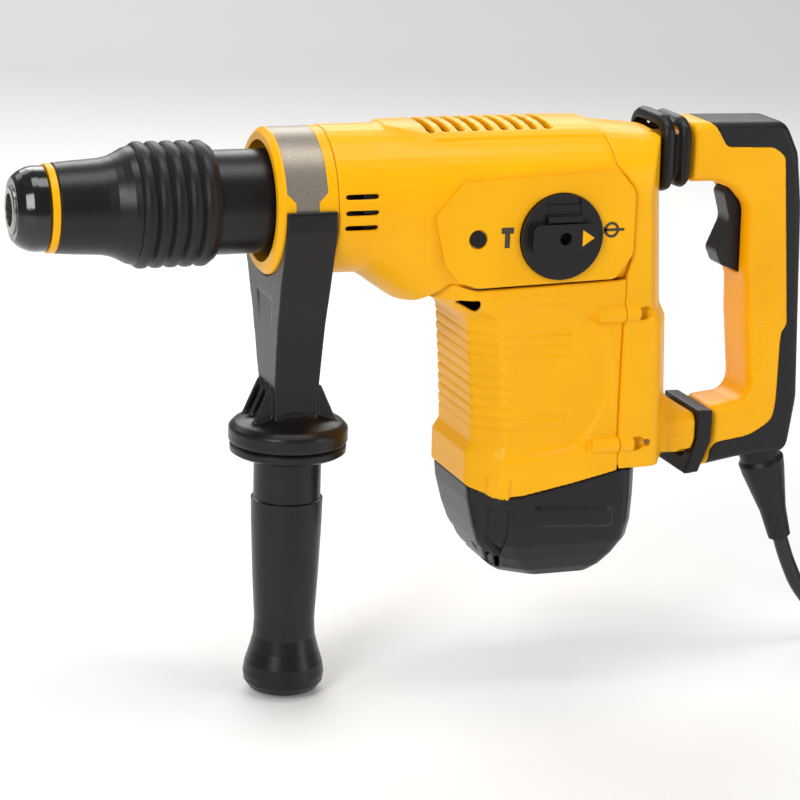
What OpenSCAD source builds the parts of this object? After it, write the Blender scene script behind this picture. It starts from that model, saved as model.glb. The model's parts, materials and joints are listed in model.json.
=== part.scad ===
// Combination hammer with an L-shaped body, a side handle and a sprung rear D handle.
// X runs along the spindle (nose at X = 0, rear at +X), +Z is up, millimetres.
// The origin is the mouth of the tool socket, on the spindle axis.

/* [Tool socket and lock sleeve] */
// Bore of the socket that takes the tool shank
socket_d = 18; // [14:0.5:20]
// Wall of the tool holder around the socket
holder_wall = 6; // [5:0.5:7.5]
// Radius of the rubber dust cap
cap_r = 23; // [22.5:0.5:26]
// Radius of the smooth front of the lock sleeve
sleeve_r = 25.5; // [25:0.5:29]
// Radius over the ribs of the lock sleeve
sleeve_rib_r = 34.3; // [33.5:0.1:40]
// Distance the sleeve is pulled back to free the tool
sleeve_travel = 8; // [6:0.5:9]
// Length of the ribbed zone of the sleeve
rib_zone_l = 43; // [36:1:50]

/* [Barrel and collar] */
// Outer radius of the black barrel tube
barrel_r = 28.5; // [27.5:0.5:31]
// Wall of the barrel tube
barrel_wall = 3; // [2.5:0.5:4]
// Outer radius of the clamp ring
collar_r = 40.4; // [38:0.2:46]
// Thickness of the steel strap
strap_t = 2.1; // [1.5:0.1:3]
// Width of the steel strap over the top
strap_w = 23; // [20:1:24]

/* [Side handle] */
// Position of the side handle along the spindle
grip_x = 157.6; // [156:0.2:160]
// Radius of the hand flange
flange_r = 33.6; // [28:0.2:40]
// Radius of the side grip below its neck
grip_r = 20.3; // [18:0.1:25]
// Length of the side grip from its flange to its end
grip_l = 148; // [115:1:180]
// Length of the cradle from the spindle axis to the hand flange
cradle_l = 127; // [110:1:150]
// Diameter of the clamp bolt
clamp_bolt_d = 8; // [6:1:10]

/* [Housings] */
// Wall of the moulded housings
wall = 3; // [2:0.5:3.5]
// Half width of the gear housing
body_w = 48; // [46:0.5:56]
// Half width of the motor housing
motor_w = 46; // [44:0.5:54]
// Height of the crown of the gear housing above the spindle
crown_h = 40.8; // [40:0.2:50]
// Depth of the motor cap
motor_cap_h = 59; // [55:1:75]
// Number of cooling slots on the top
top_slots = 9; // [5:1:9]

/* [Mode dial] */
// Radius of the mode dial
dial_r = 24; // [20:0.5:26]
// Length of the pointer bar of the dial
dial_bar_l = 38; // [28:1:40]

/* [Motor and gears] */
// Radius of the stator core
stator_r = 36.5; // [34:0.5:38]
// Radius of the rotor core
rotor_r = 24; // [20:0.5:27]
// Gear module
gear_m = 1.25; // [1.25:0.05:1.3]
// Throw of the crank
crank_throw = 14; // [10:0.5:15]
// Radius of the piston
piston_r = 15; // [14:0.1:16]
// Diameter of the motor shaft
shaft_d = 10; // [8:0.5:11]

/* [Rear handle] */
// Half width of the rear handle
handle_w = 19; // [18:0.5:25]
// Half width of the trigger
trigger_w = 8; // [6:0.5:10]
// Diameter of the handle pivot pin
pivot_d = 8; // [6:0.5:10]
// Length of the cord guard
guard_l = 60; // [45:1:70]

/* [Cord] */
// Diameter of the mains cord
cord_d = 9; // [9:0.5:9.5]

/* [Hidden] */
// Clearances
run_gap = 0.1;    // turning and sliding fits
free_gap = 0.4;   // between bodies that never touch
seat_gap = 0.05;  // parts fixed into each other
fit_gap = 0.3;    // pieces of one body that are pushed in

// Gear train: teeth and axes
pinion_n = 8;
crank_n = 46;
inter_n = 20;
crank_x = 263;
motor_x = crank_x + gear_m * (pinion_n + crank_n) / 2;
inter_x = crank_x - gear_m * (inter_n + crank_n) / 2;
gear_z = -41;
gear_t = 6;

// Nose stations
socket_r = socket_d / 2;
holder_r = socket_r + holder_wall;
cap_x = 1.5;
cap_end = 19;
ring_end = 23;
sleeve_end = 66 + rib_zone_l;
barrel_front = 86;
barrel_end = 194;
bore_r = barrel_r - barrel_wall;
spindle_r = piston_r + 3.2;
holder_end = 126;
socket_l = 92;
roller_r = (holder_wall + 0.2) / 2;
cylinder_end = 236;

// Collar stations
collar_x0 = 138;
collar_x1 = 170.8;
strap_x0 = 142;
strap_in = collar_r - strap_t;

// Housing stations
house_x0 = 171.2;
seam_x = 339.5;
split_z = -160;
plate_z = -50;
motor_bot = split_z - motor_cap_h;

// Side handle stations
flange_z = -cradle_l;
flange_bot = flange_z - 10.2;
grip_top = flange_bot - free_gap;
grip_end = grip_top - grip_l;

// Floor that the cord lies on
floor_z = -285.6;
cord_r = cord_d / 2;
guard_x = 451;
guard_z = -160;
guard_tilt = 18;

// Rest of the cord: hand-placed route from the guard to the coil and on to the plug
cord_run = [
    [449, 0, -158], [456, 0, -178], [463, 0, -198], [470, 0, -218], [477, 0, -236],
    [487, 0, -254], [501, 0, -268], [519, -1, -277], [537, -5, -281], [554, -14, -281],
    [570, -26, -281], [586, -38.5, -281], [602, -48, -281], [618, -52.8, -281], [634, -54, -281],
    [650, -54, -281]];
coil_c = [650, 5];
coil_mid = 50;
coil_w = 28;
coil_h = 37;
tail_run = [[650, 64, -253.6], [637, 64, -253.9], [625, 64, -255.5], [613, 63, -259],
    [602, 61.5, -263], [592, 60, -266]];
plug_x = 592;
plug_y = 60;
plug_z = -266;

amber = "#FDB913";
coal = "#2B2829";
steel = "#B9B6B0";

// ---- helpers ----

function unit(v) = v / norm(v);
function cross2(a, b) = a[0] * b[1] - a[1] * b[0];

// Moves each corner [x, y, r] of a counter-clockwise outline inwards by d
function inset(p, d) = let (n = len(p)) [for (i = [0:n - 1])
    let (a = p[(i + n - 1) % n], b = p[i], c = p[(i + 1) % n],
        u = unit([b[0] - a[0], b[1] - a[1]]), v = unit([c[0] - b[0], c[1] - b[1]]),
        m = [-u[1] - v[1], u[0] + v[0]], k = 2 * d / (m * m),
        turn = cross2(u, v) > 0 ? -1 : 1)
    [b[0] + m[0] * k, b[1] + m[1] * k, max(b[2] + turn * d, 0.4)]];

// Points of an arc that rounds the corner b between a and c
function corner(a, b, c, r, n) = let (
        u = unit(a - b), v = unit(c - b), h = acos(max(min(u * v, 1), -1)) / 2,
        t = r / tan(h), o = b + unit(u + v) * (r / sin(h)),
        p0 = b + u * t - o, p1 = b + v * t - o,
        a0 = atan2(p0[1], p0[0]), a1 = atan2(p1[1], p1[0]),
        da = (a1 - a0 + 540) % 360 - 180)
    [for (i = [0:n]) o + r * [cos(a0 + da * i / n), sin(a0 + da * i / n)]];

// Outline of [x, y, r] corners with each corner rounded
function soft(p, n = 5) = let (k = len(p)) [for (i = [0:k - 1])
    let (a = p[(i + k - 1) % k], b = p[i], c = p[(i + 1) % k])
    each corner([a[0], a[1]], [b[0], b[1]], [c[0], c[1]], b[2], n)];

// Closed skin through rings of equal length
module skin(rings) {
    n = len(rings[0]);
    m = len(rings);
    polyhedron(
        points = [for (r = rings) each r],
        faces = concat(
            [[for (i = [0:n - 1]) i]],
            [for (k = [0:m - 2], i = [0:n - 1]) [k * n + i, (k + 1) * n + i, k * n + (i + 1) % n]],
            [for (k = [0:m - 2], i = [0:n - 1])
                [k * n + (i + 1) % n, (k + 1) * n + i, (k + 1) * n + (i + 1) % n]],
            [[for (i = [n - 1:-1:0]) (m - 1) * n + i]]));
}

// Solid of revolution about the spindle axis from [x, r] points
module turn_x(p, x = 0) {
    translate([x, 0, 0]) rotate([0, 90, 0])
        rotate_extrude($fn = 96) polygon([for (q = p) [q[1], q[0]]]);
}

// Solid of revolution about a vertical axis from [z, r] points
module turn_z(p, x = 0, y = 0) {
    translate([x, y, 0]) rotate_extrude($fn = 96) polygon([for (q = p) [q[1], q[0]]]);
}

// Cylinders along each axis
module rod_x(r, x0, x1, y = 0, z = 0) {
    translate([x0, y, z]) rotate([0, 90, 0]) cylinder(r = r, h = x1 - x0, $fn = 64);
}
module rod_y(r, x, z, y0, y1) {
    translate([x, y1, z]) rotate([90, 0, 0]) cylinder(r = r, h = y1 - y0, $fn = 64);
}
module rod_z(r, x, y, z0, z1) {
    translate([x, y, z0]) cylinder(r = r, h = z1 - z0, $fn = 64);
}

// Slabs: an outline in the XZ plane, the YZ plane or the XY plane
module slab_xz(p, y0, y1) {
    translate([0, y1, 0]) rotate([90, 0, 0]) linear_extrude(y1 - y0) polygon(p);
}
module slab_yz(p, x0, x1) {
    translate([x0, 0, 0]) rotate([90, 0, 90]) linear_extrude(x1 - x0) polygon(p);
}
module slab_xy(p, z0, z1) {
    translate([0, 0, z0]) linear_extrude(z1 - z0) polygon(p);
}
module block(x0, x1, y0, y1, z0, z1) {
    translate([x0, y0, z0]) cube([x1 - x0, y1 - y0, z1 - z0]);
}

// Outline of a spur gear with straight-flanked teeth
function gear_outline(n) = let (r = gear_m * n / 2, a = 360 / n, ri = r - 1.2 * gear_m,
        ro = r + 0.8 * gear_m) [for (i = [0:n - 1], q = [[-0.3, ri], [-0.22, r - 0.2],
        [-0.09, ro], [0.09, ro], [0.22, r - 0.2], [0.3, ri]])
    q[1] * [cos(a * (i + q[0])), sin(a * (i + q[0]))]];
module gear(n, x, z0, z1, phase) {
    translate([x, 0, z0]) rotate([0, 0, phase]) linear_extrude(z1 - z0) polygon(gear_outline(n));
}

// Flat-wound spring: rings joined by straight links
module spring_x(x0, x1, r, t, turns) {
    p = (x1 - x0 - t) / (turns - 1);
    for (i = [0:turns - 1]) turn_x([[x0 + i * p, r - t], [x0 + i * p + t, r - t],
        [x0 + i * p + t, r], [x0 + i * p, r]]);
    for (i = [0:turns - 2]) rotate([180 * i, 0, 0])
        block(x0 + i * p, x0 + (i + 1) * p + t, -t / 2, t / 2, r - t, r - 0.1);
}

// ---- nose ----

module dust_cap() color(coal) turn_x([[cap_x, socket_r + 4.2], [cap_x, cap_r - 6],
    [cap_x + 1.5, cap_r - 4.2], [cap_x + 4, cap_r - 2.4], [cap_x + 8, cap_r - 0.6],
    [cap_x + 11, cap_r], [cap_end - 1.2, cap_r], [cap_end - 0.4, cap_r - 0.5],
    [cap_end - 0.4, holder_r + seat_gap], [cap_x + 3.6, holder_r + seat_gap],
    [cap_x + 3.6, socket_r + 4.2]]);

module tool_holder() color(steel) difference() {
    turn_x([[0, socket_r], [0, socket_r + 2.8], [0.8, socket_r + 4], [cap_x + 3.6, socket_r + 4],
        [cap_x + 3.6, holder_r - 0.6], [cap_x + 4.2, holder_r], [70, holder_r],
        [70, holder_r + 2], [84, holder_r + 2], [84, holder_r + 5], [85.5, holder_r + 5],
        [85.5, holder_r + 2], [holder_end - 2, holder_r + 2], [holder_end - 2, spindle_r],
        [holder_end, spindle_r], [holder_end, 13.4], [108, 13.4], [108, socket_r + 0.3],
        [socket_l, socket_r + 0.3], [socket_l, socket_r]]);
    for (s = [0, 180]) rotate([s, 0, 0]) block(37.5, 58.5, -roller_r - run_gap,
        roller_r + run_gap, socket_r - 3, holder_r + 1);
}

module lock_rollers() color(steel) for (s = [-1, 1])
    rod_x(roller_r, 39, 57, 0, s * (socket_r + run_gap + roller_r));

module sleeve_ring() color(amber) turn_x([[cap_end, holder_r + free_gap], [cap_end, cap_r + 0.6],
    [cap_end + 0.4, cap_r + 1], [ring_end - 0.4, cap_r + 1], [ring_end, cap_r + 0.7],
    [ring_end, holder_r + free_gap]]);

module lock_sleeve() color(coal) turn_x([[ring_end, holder_r + free_gap],
    [ring_end, sleeve_r - 2], [ring_end + 0.8, sleeve_r - 1.2], [34, sleeve_r - 0.4],
    [42, sleeve_r], [49, sleeve_r + 0.5], [54, sleeve_r + 1.6], [58, sleeve_r + 3.4],
    [62, sleeve_r + 5.6], [65.6, sleeve_r + 6.6], [65.6, sleeve_r + 3.5],
    [sleeve_end - 1, sleeve_r + 3.5 + barrel_r - 25.5 - 2.2], [sleeve_end - 1, barrel_r + free_gap],
    [barrel_front - sleeve_travel - 2, barrel_r + free_gap],
    [barrel_front - sleeve_travel - 2, sleeve_r - 3], [36, sleeve_r - 3],
    [36, holder_r + free_gap]]);

module sleeve_grip() color(coal) {
    r0 = max(sleeve_r + 3.5, barrel_r + 1.5 + free_gap + 0.6) + 1;
    pitch = rib_zone_l / 5.2;
    difference() {
        turn_x(concat([[65.7, sleeve_r + 3.9], [65.7, sleeve_rib_r - 2.6]],
            [for (i = [0:4], q = [[0, -2.4], [0.12, -1.2], [0.3, -0.2], [0.5, 0], [0.7, -0.2],
                [0.88, -1.2]]) [66 + pitch * (i + q[0]), sleeve_rib_r + q[1]]],
            [[sleeve_end - 1.2, sleeve_rib_r - 2.2], [sleeve_end, sleeve_rib_r - 3],
            [sleeve_end, barrel_r + free_gap], [sleeve_end - 0.9, barrel_r + free_gap],
            [sleeve_end - 0.9, sleeve_r + 3.9 + barrel_r - 25.5 - 2.2]]));
    }
}

module lock_ring() color(steel) turn_x([[36.2, holder_r + free_gap], [36.2, sleeve_r - 3.05],
    [60, sleeve_r - 3.05], [60, holder_r + free_gap]]);

module lock_spring() color(steel) spring_x(60.3, 83.8, holder_r + 4.4, 1.6, 5);

module barrel_tube() color(coal) turn_x([[barrel_front, holder_r + 2.4],
    [barrel_front, barrel_r - 0.8], [barrel_front + 0.8, barrel_r], [186, barrel_r],
    [186, 37.7], [barrel_end, 37.7], [barrel_end, bore_r], [barrel_front + 3, bore_r],
    [barrel_front + 3, holder_r + 2.4]]);

// Ball bearing: two rings and the cage between them
module bearing_x(ri, ro, x0, x1) {
    k = (ro - ri) / 4;
    turn_x([[x0, ri], [x0, ri + k], [x0 + 1, ri + k], [x0 + 1, ro - k], [x0, ro - k], [x0, ro],
        [x1, ro], [x1, ro - k], [x1 - 1, ro - k], [x1 - 1, ri + k], [x1, ri + k], [x1, ri]]);
}
module bearing_z(ri, ro, x, z0, z1) {
    k = (ro - ri) / 4;
    turn_z([[z0, ri], [z0, ri + k], [z0 + 1, ri + k], [z0 + 1, ro - k], [z0, ro - k], [z0, ro],
        [z1, ro], [z1, ro - k], [z1 - 1, ro - k], [z1 - 1, ri + k], [z1, ri + k], [z1, ri]], x);
}

module front_bearing() color(steel) bearing_x(holder_r + 2 + run_gap, bore_r - seat_gap, 96, 107);
module rear_bearing() color(steel) bearing_x(spindle_r + run_gap, bore_r - seat_gap, 179, 190);

module cylinder_tube() color(steel) difference() {
    turn_x([[holder_end + 0.02, piston_r + run_gap], [holder_end + 0.02, spindle_r],
        [cylinder_end, spindle_r], [cylinder_end, piston_r + run_gap]]);
    for (a = [0:60:300]) rotate([a, 0, 0]) rod_z(2, 172, 0, piston_r - 3, spindle_r + 3);
}

module beat_piece() color(steel) turn_x([[97, 0], [97, socket_r - 1.6], [98.5, socket_r - 0.2],
    [111.6, socket_r - 0.2], [112.4, 13.2], [122, 13.2], [122.8, 11], [122.8, 0]]);

module ram() color(steel) turn_x([[131, 0], [131, 8], [134, 9], [136, piston_r - 0.2],
    [150, piston_r - 0.2], [150, piston_r - 1.6], [153, piston_r - 1.6],
    [153, piston_r - 0.2], [162, piston_r - 0.2], [162, 0]]);

rod_l = 56;
module piston() color(steel) {
    x0 = crank_x - crank_throw - rod_l - 12;
    difference() {
        turn_x([[x0, 0], [x0, piston_r - 0.5], [x0 + 0.6, piston_r], [x0 + 5, piston_r],
            [x0 + 5, piston_r - 1.5], [x0 + 8, piston_r - 1.5], [x0 + 8, piston_r],
            [x0 + 24, piston_r], [x0 + 24, 0]]);
        block(x0 + 6, x0 + 25, -6.3, 6.3, -7, 7);
    }
    // Connecting rod with the wrist pin, and the crank pin held in its big end
    rod_y(4, x0 + 15, 0, -13, 13);
    rod_z(7, x0 + 15, 0, -4, 4);
    block(x0 + 18, x0 + 12 + rod_l - 7, -4, 4, -3, 3);
    rod_z(9.5, crank_x - crank_throw, 0, -5, 5);
    rod_z(4.6, crank_x - crank_throw, 0, crank_top + fit_gap, 7);
}

module bevel_gear() color(steel) turn_x([[-10.4, spindle_r + seat_gap], [-10.4, 27],
    [-8, 34], [-4.5, 34], [0, 29.5], [0, spindle_r + seat_gap]], inter_x - 12);

// ---- side handle ----

module clamp_ring() color(amber) difference() {
    turn_x([[collar_x0, 33.4], [collar_x0, collar_r - 3], [collar_x0 + 2.6, collar_r - 0.2],
        [collar_x0 + 3.4, collar_r], [collar_x1, collar_r], [collar_x1, barrel_r + free_gap],
        [154, barrel_r + free_gap], [154, 33.4]]);
    // Groove of the strap, wide over the top and narrow below
    intersection() {
        turn_x([[strap_x0 - 0.05, strap_in - 0.05], [strap_x0 - 0.05, 60],
            [strap_x0 + strap_w + 0.05, 60], [strap_x0 + strap_w + 0.05, strap_in - 0.05]]);
        union() {
            slab_xz(strap_outline(0.05), -60, 60);
            block(strap_x0 + 4.95, strap_x0 + strap_w - 4.95, -60, 60, -60, 6);
        }
    }
}

function strap_outline(g) = [[strap_x0 + 5 - g, 4], [strap_x0 + strap_w - 5 + g, 4],
    [strap_x0 + strap_w - 5 + g, 6], [strap_x0 + strap_w + g, 11], [strap_x0 + strap_w + g, 60],
    [strap_x0 - g, 60], [strap_x0 - g, 11], [strap_x0 + 5 - g, 6]];

module clamp_strap() color("#7B756F") intersection() {
    turn_x([[strap_x0, strap_in], [strap_x0, collar_r - 0.1],
        [strap_x0 + strap_w, collar_r - 0.1], [strap_x0 + strap_w, strap_in]]);
    union() {
        slab_xz(strap_outline(0), -60, 60);
        block(strap_x0 + 5, strap_x0 + strap_w - 5, -60, 60, -60, 4.1);
    }
}

// Half outline of the cradle, from the saddle down to the flange
function cradle_side() = [[collar_r + 2.8, 1.5], [collar_r + 2.6, -10], [37, -30], [30.5, -50],
    [25, -66], [19.5, -90], [15.5, -108], [15.5, flange_z - 2]];

module clamp_cradle() color(coal) {
    s = cradle_side();
    n = len(s);
    difference() {
        union() {
            intersection() {
                slab_yz(concat(s, [for (i = [n - 1:-1:0]) [-s[i][0], s[i][1]]]), 140, 172);
                slab_xz([[strap_x0 - 0.6, 3], [strap_x0 - 0.4, -40], [145.4, flange_z - 2],
                    [grip_x * 2 - 145.4, flange_z - 2], [collar_x1 - 0.6, -40],
                    [collar_x1 - 0.8, 3]], -60, 60);
            }
            turn_z([[flange_z + 9, 0], [flange_z + 9, 15], [flange_z + 6, 20],
                [flange_z + 1.5, flange_r - 3], [flange_z - 1.5, flange_r],
                [flange_bot + 1.2, flange_r], [flange_bot, flange_r - 1.2],
                [flange_bot, 0]], grip_x);
            for (y = [-11, 0, 11], s = [-1, 1]) translate([grip_x, y, flange_z])
                scale([s, 1, 1]) slab_xz([[8, 0], [24, 0], [24, 4], [15, 24], [8, 24]], -1.4, 1.4);
        }
        rod_x(collar_r + fit_gap, 130, 180);
        rod_z(clamp_bolt_d / 2 + free_gap, grip_x, 0, flange_bot - 1, -30);
        block(grip_x - 7.6, grip_x + 7.6, -7.6, 7.6, -collar_r - 8, -30);
        // Shallow panel on the front face
        slab_yz([[-14, -52], [14, -52], [9, -96], [-9, -96]], 140, strap_x0 + 0.9);
    }
}

module clamp_bolt() color(steel) {
    rod_z(clamp_bolt_d / 2, grip_x, 0, grip_top - 20, -collar_r - 6);
    difference() {
        block(grip_x - 7, grip_x + 7, -7, 7, -collar_r - 7, -strap_in + 0.5);
        rod_x(collar_r + 0.1, 130, 180);
    }
}

module side_grip() color(coal) difference() {
    turn_z([[grip_top, 0], [grip_top, flange_r - 2.2], [grip_top - 1.4, flange_r - 0.8],
        [grip_top - 4.6, flange_r - 0.9], [grip_top - 6, flange_r - 3], [grip_top - 8, 21],
        [grip_top - 10, grip_r - 1.3], [grip_top - 32, grip_r - 1.3],
        [grip_top - 32.6, grip_r], [grip_top - 46, grip_r - 0.3],
        [grip_top - 78, grip_r - 1.6], [grip_top - 104, grip_r - 3.1],
        [grip_end + 34, grip_r - 2.6], [grip_end + 26, grip_r - 0.6],
        [grip_end + 18, grip_r + 1.9], [grip_end + 12, grip_r + 2.9],
        [grip_end + 7, grip_r + 2.3], [grip_end + 3, grip_r - 0.6],
        [grip_end + 1, grip_r - 5], [grip_end, grip_r - 11], [grip_end, 0]], grip_x);
    rod_z(clamp_bolt_d / 2 + run_gap, grip_x, 0, grip_top - 24, grip_top + 1);
}

// ---- gear housing ----

// Sections along the spindle: [x, half width, crown, belly, exponent]
function case_rows() = [[house_x0, 41, 41, 41, 2], [192, 41, 41, 41.2, 2],
    [198, 41.6, 41, 45, 2], [205, 43, 41, 50, 2.1], [213, 45, crown_h, 55.5, 2.2],
    [222, body_w - 1.6, crown_h, 60, 2.3], [232, body_w - 0.6, crown_h, 63, 2.35],
    [246, body_w, crown_h, 66, 2.4], [300, body_w, crown_h, 68, 2.4],
    [326, body_w - 0.4, crown_h - 0.6, 68, 2.4], [350, body_w - 2, crown_h - 3, 68, 2.4],
    [368, body_w - 5, crown_h - 5, 68, 2.4]];

function squircle(x, w, hu, hl, k, n = 44) = [for (i = [0:n - 1]) let (c = cos(360 * i / n),
        s = sin(360 * i / n), q = s < 0 ? min(k * k * 0.5, 4) : k, h = s < 0 ? hl : hu)
    [x, w * sign(c) * pow(abs(c), 2 / q), h * sign(s) * pow(abs(s), 2 / q)]];

module case_skin(d, rows) {
    skin([for (r = rows) squircle(r[0], r[1] - d, r[2] - d, r[3] - d, r[4])]);
}

// Everything under the joint of the gear housing and to its rear
module below_case(g) {
    slab_xz([[214, -80], [214, -56 - g], [221, -54 - g], [229, -48 - g], [236, -41.5 - g],
        [250, -45.5 - g], [seam_x - g, -43 - g], [342 - g, -29], [342 - g, 8],
        [331.5 - g, 21], [330 - g, 34], [322 - g, 60], [400, 60], [400, -80]], -80, 80);
}

module gear_housing() color(amber) {
    rows = case_rows();
    n = len(rows) - 1;
    difference() {
        union() {
            case_skin(0, rows);
            intersection() {
                case_skin(-1.7, rows);
                slab_xy([[206, -12], [229, -29], [400, -29], [400, 29], [229, 29], [206, 12]],
                    20, 70);
            }
        }
        case_skin(wall, [for (i = [0:n]) i == 0 ? concat([house_x0 + wall], [41, 41, 41, 2])
            : i == n ? concat([seam_x + 20], [for (j = [1:4]) rows[n][j]]) : rows[i]]);
        turn_x([[170, 38.6], [190, 38.6], [190, 0], [170, 0]]);
        below_case(0);
        // Three cooling slots on each side of the barrel
        for (z = [8, -0.5, -9]) slab_xz(soft([[175, z - 1.3, 1.2], [194, z - 1.3, 1.2],
            [194, z + 1.3, 1.2], [175, z + 1.3, 1.2]], 3), -60, 60);
        // Cooling slots across the crown
        for (i = [0:top_slots - 1]) slab_xy(soft([[227 + 8.6 * i, -23, 1.8], [231 + 8.6 * i, -23,
            1.8], [231 + 8.6 * i, 23, 1.8], [227 + 8.6 * i, 23, 1.8]], 3), 30, 60);
        // Seat of the dial plate and the hole of the dial spindle
        slab_xz(soft(inset(plate_outline(), -0.1)), -60, -body_w + 1.2);
        rod_y(6.3, dial_x, dial_z, -60, -30);
        rod_y(2.2, screw_x, dial_z, -60, -30);
    }
}

dial_x = 297;
dial_z = -16;
screw_x = 248.5;

function plate_outline() = [[223.5, -3, 6], [230, -30, 8], [238, -39.5, 6], [249, -43.5, 6],
    [331, -41.5, 6], [341, -28, 6], [341, 7, 6], [331, 19.5, 6], [240, 15.5, 6]];

module dial_plate() color(amber) difference() {
    slab_xz(soft(plate_outline()), -body_w - 0.6, -body_w + 1.15);
    rod_y(dial_r + free_gap, dial_x, dial_z, -60, -30);
    rod_y(5.4, screw_x, dial_z, -60, -30);
}

module plate_screw() color(coal) {
    rod_y(2.15, screw_x, dial_z, -body_w + 0.3, -body_w + 12);
    difference() {
        rod_y(4.6, screw_x, dial_z, -body_w - 0.4, -body_w + 1.15);
        rod_y(1.8, screw_x, dial_z, -body_w - 2, -body_w - 0.1 + 0.6);
    }
}

module mode_dial() color(coal) difference() {
    union() {
        rod_y(dial_r, dial_x, dial_z, -body_w - 3.4, -body_w + 0.9);
        rod_y(6.2, dial_x, dial_z, -body_w, -34);
        slab_xz(soft([[dial_x - dial_bar_l / 2, dial_z - 8, 4], [dial_x + dial_bar_l / 2,
            dial_z - 8, 4], [dial_x + dial_bar_l / 2, dial_z + 8, 4],
            [dial_x - dial_bar_l / 2, dial_z + 8, 4]]), -body_w - 8, -body_w - 3);
    }
    rod_y(3.6, dial_x, dial_z, -body_w - 9, -body_w - 1);
    // Slot of the lock button
    block(dial_x - 10.3, dial_x + 10.3, -body_w - 9, -body_w - 1.8, dial_z + 8.4, dial_z + 26);
    slab_xz(pointer(0.1), -body_w - 9, -body_w - 7.4);
}

function pointer(g) = [[dial_x + 10 - g, dial_z - 4.6 - g], [dial_x + 17 + 2 * g, dial_z],
    [dial_x + 10 - g, dial_z + 4.6 + g]];

module dial_button() color(coal) {
    block(dial_x - 10, dial_x + 10, -body_w - 3, -body_w - 2.1, dial_z + 8.7, dial_z + 18);
    block(dial_x - 10, dial_x + 10, -body_w - 6.4, -body_w - 2.1, dial_z + 8.7, dial_z + 12);
}

module dial_pointer() color(amber) slab_xz(pointer(0), -body_w - 8.1, -body_w - 7.4);

// ---- gears and motor ----

crank_top = gear_z + gear_t + 9;

// Plate between the gear space and the motor, with the bearing seats
function frame_plan(g) = soft(inset([[212, -14, 5], [232, -32, 8],
    [seam_x - 5, -motor_w + 9, 4], [seam_x - 5, motor_w - 9, 4],
    [232, 32, 8], [212, 14, 5]], -g));

module gear_frame() color("#A3A09B") difference() {
    union() {
        slab_xy(frame_plan(0), plate_z, gear_z - 2);
        rod_z(16, motor_x, 0, plate_z - 9, plate_z + 0.01);
        rod_z(13, crank_x, 0, plate_z - 4, plate_z + 0.01);
    }
    rod_z(13, motor_x, 0, plate_z - 10, plate_z - 0.5);
    rod_z(shaft_d / 2 + 1.5, motor_x, 0, plate_z - 1, gear_z);
    rod_z(6.1, crank_x, 0, plate_z - 5, gear_z);
    rod_z(4.1, inter_x, 0, plate_z - 5, gear_z);
}

module crank() color(steel) {
    gear(crank_n, crank_x, gear_z, gear_z + gear_t, 0);
    rod_z(6, crank_x, 0, plate_z - 3, gear_z + 0.01);
    rod_z(10, crank_x, 0, gear_z + gear_t - 0.01, gear_z + gear_t + 3);
    rod_z(22, crank_x, 0, gear_z + gear_t + 2.5, crank_top);
}

module inter_gear() color(steel) {
    gear(inter_n, inter_x, gear_z, gear_z + gear_t, 9);
    rod_z(4, inter_x, 0, plate_z - 3, gear_z + 0.01);
    turn_z([[gear_z + gear_t - 0.01, 0], [gear_z + gear_t - 0.01, 10.6],
        [gear_z + gear_t + 1, 10.6], [gear_z + gear_t + 8, 6.6],
        [gear_z + gear_t + 8, 0]], inter_x);
}

module rotor() color("#8F6A4A") {
    gear(pinion_n, motor_x, gear_z - 1, gear_z + gear_t, 22.5);
    rod_z(shaft_d / 2 - 1.6, motor_x, 0, plate_z + 2, gear_z - 0.99);
    rod_z(shaft_d / 2, motor_x, 0, -188, plate_z + 2.01);
    turn_z([[-146, 0], [-146, 17], [-140, rotor_r - 3], [-138, rotor_r - 3], [-138, rotor_r],
        [-82, rotor_r], [-82, rotor_r - 3], [-80, rotor_r - 3], [-75, 16], [-75, 0]], motor_x);
    rod_z(13, motor_x, 0, -168, -150);
}

module fan() color(coal) {
    difference() {
        rod_z(37, motor_x, 0, -63.5, -61.8);
        rod_z(shaft_d / 2 + seat_gap, motor_x, 0, -70, -60);
    }
    turn_z([[-73, shaft_d / 2 + seat_gap], [-73, 9], [-63.4, 11], [-63.4, shaft_d / 2 + seat_gap]],
        motor_x);
    for (a = [0:30:330]) translate([motor_x, 0, 0]) rotate([0, 0, a])
        block(15, 36, -0.8, 0.8, -70, -63.4);
}

module stator() color("#6E6A66") {
    turn_z([[-140, rotor_r + 0.8], [-140, stator_r], [-78, stator_r], [-78, rotor_r + 0.8]],
        motor_x);
    for (z = [[-147, -139.9], [-78.1, -73.6]]) turn_z([[z[0], rotor_r + 3], [z[0], 36],
        [z[1], 36], [z[1], rotor_r + 3]], motor_x);
}

module upper_bearing() color(steel)
    bearing_z(shaft_d / 2 + seat_gap, 13 - seat_gap, motor_x, plate_z - 8.5, plate_z - 0.6);
module lower_bearing() color(steel)
    bearing_z(shaft_d / 2 + seat_gap, 13 - seat_gap, motor_x, -187, -179);

module brushes() color("#B08D3E") for (s = [-1, 1]) translate([motor_x, 0, 0]) rotate([0, 0,
    s * 90]) block(13.3, motor_w - wall - 1.3, -4, 4, -164, -154);

// ---- motor housing ----

// Plan of the motor housing with its front face at x = f, moved in by d
function motor_plan(f, d, rear = 0) = let (w = motor_w - d) [[f + d, -motor_nose + d * 0.4, 5],
    [f + 17 + d * 0.4, -w, 8], [seam_x - rear, -w, 0.6], [seam_x - rear, w, 0.6],
    [f + 17 + d * 0.4, w, 8], [f + d, motor_nose - d * 0.4, 5]];
motor_nose = 28;
function ring_at(p, z) = [for (q = soft(p)) [q[0], q[1], z]];

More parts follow.
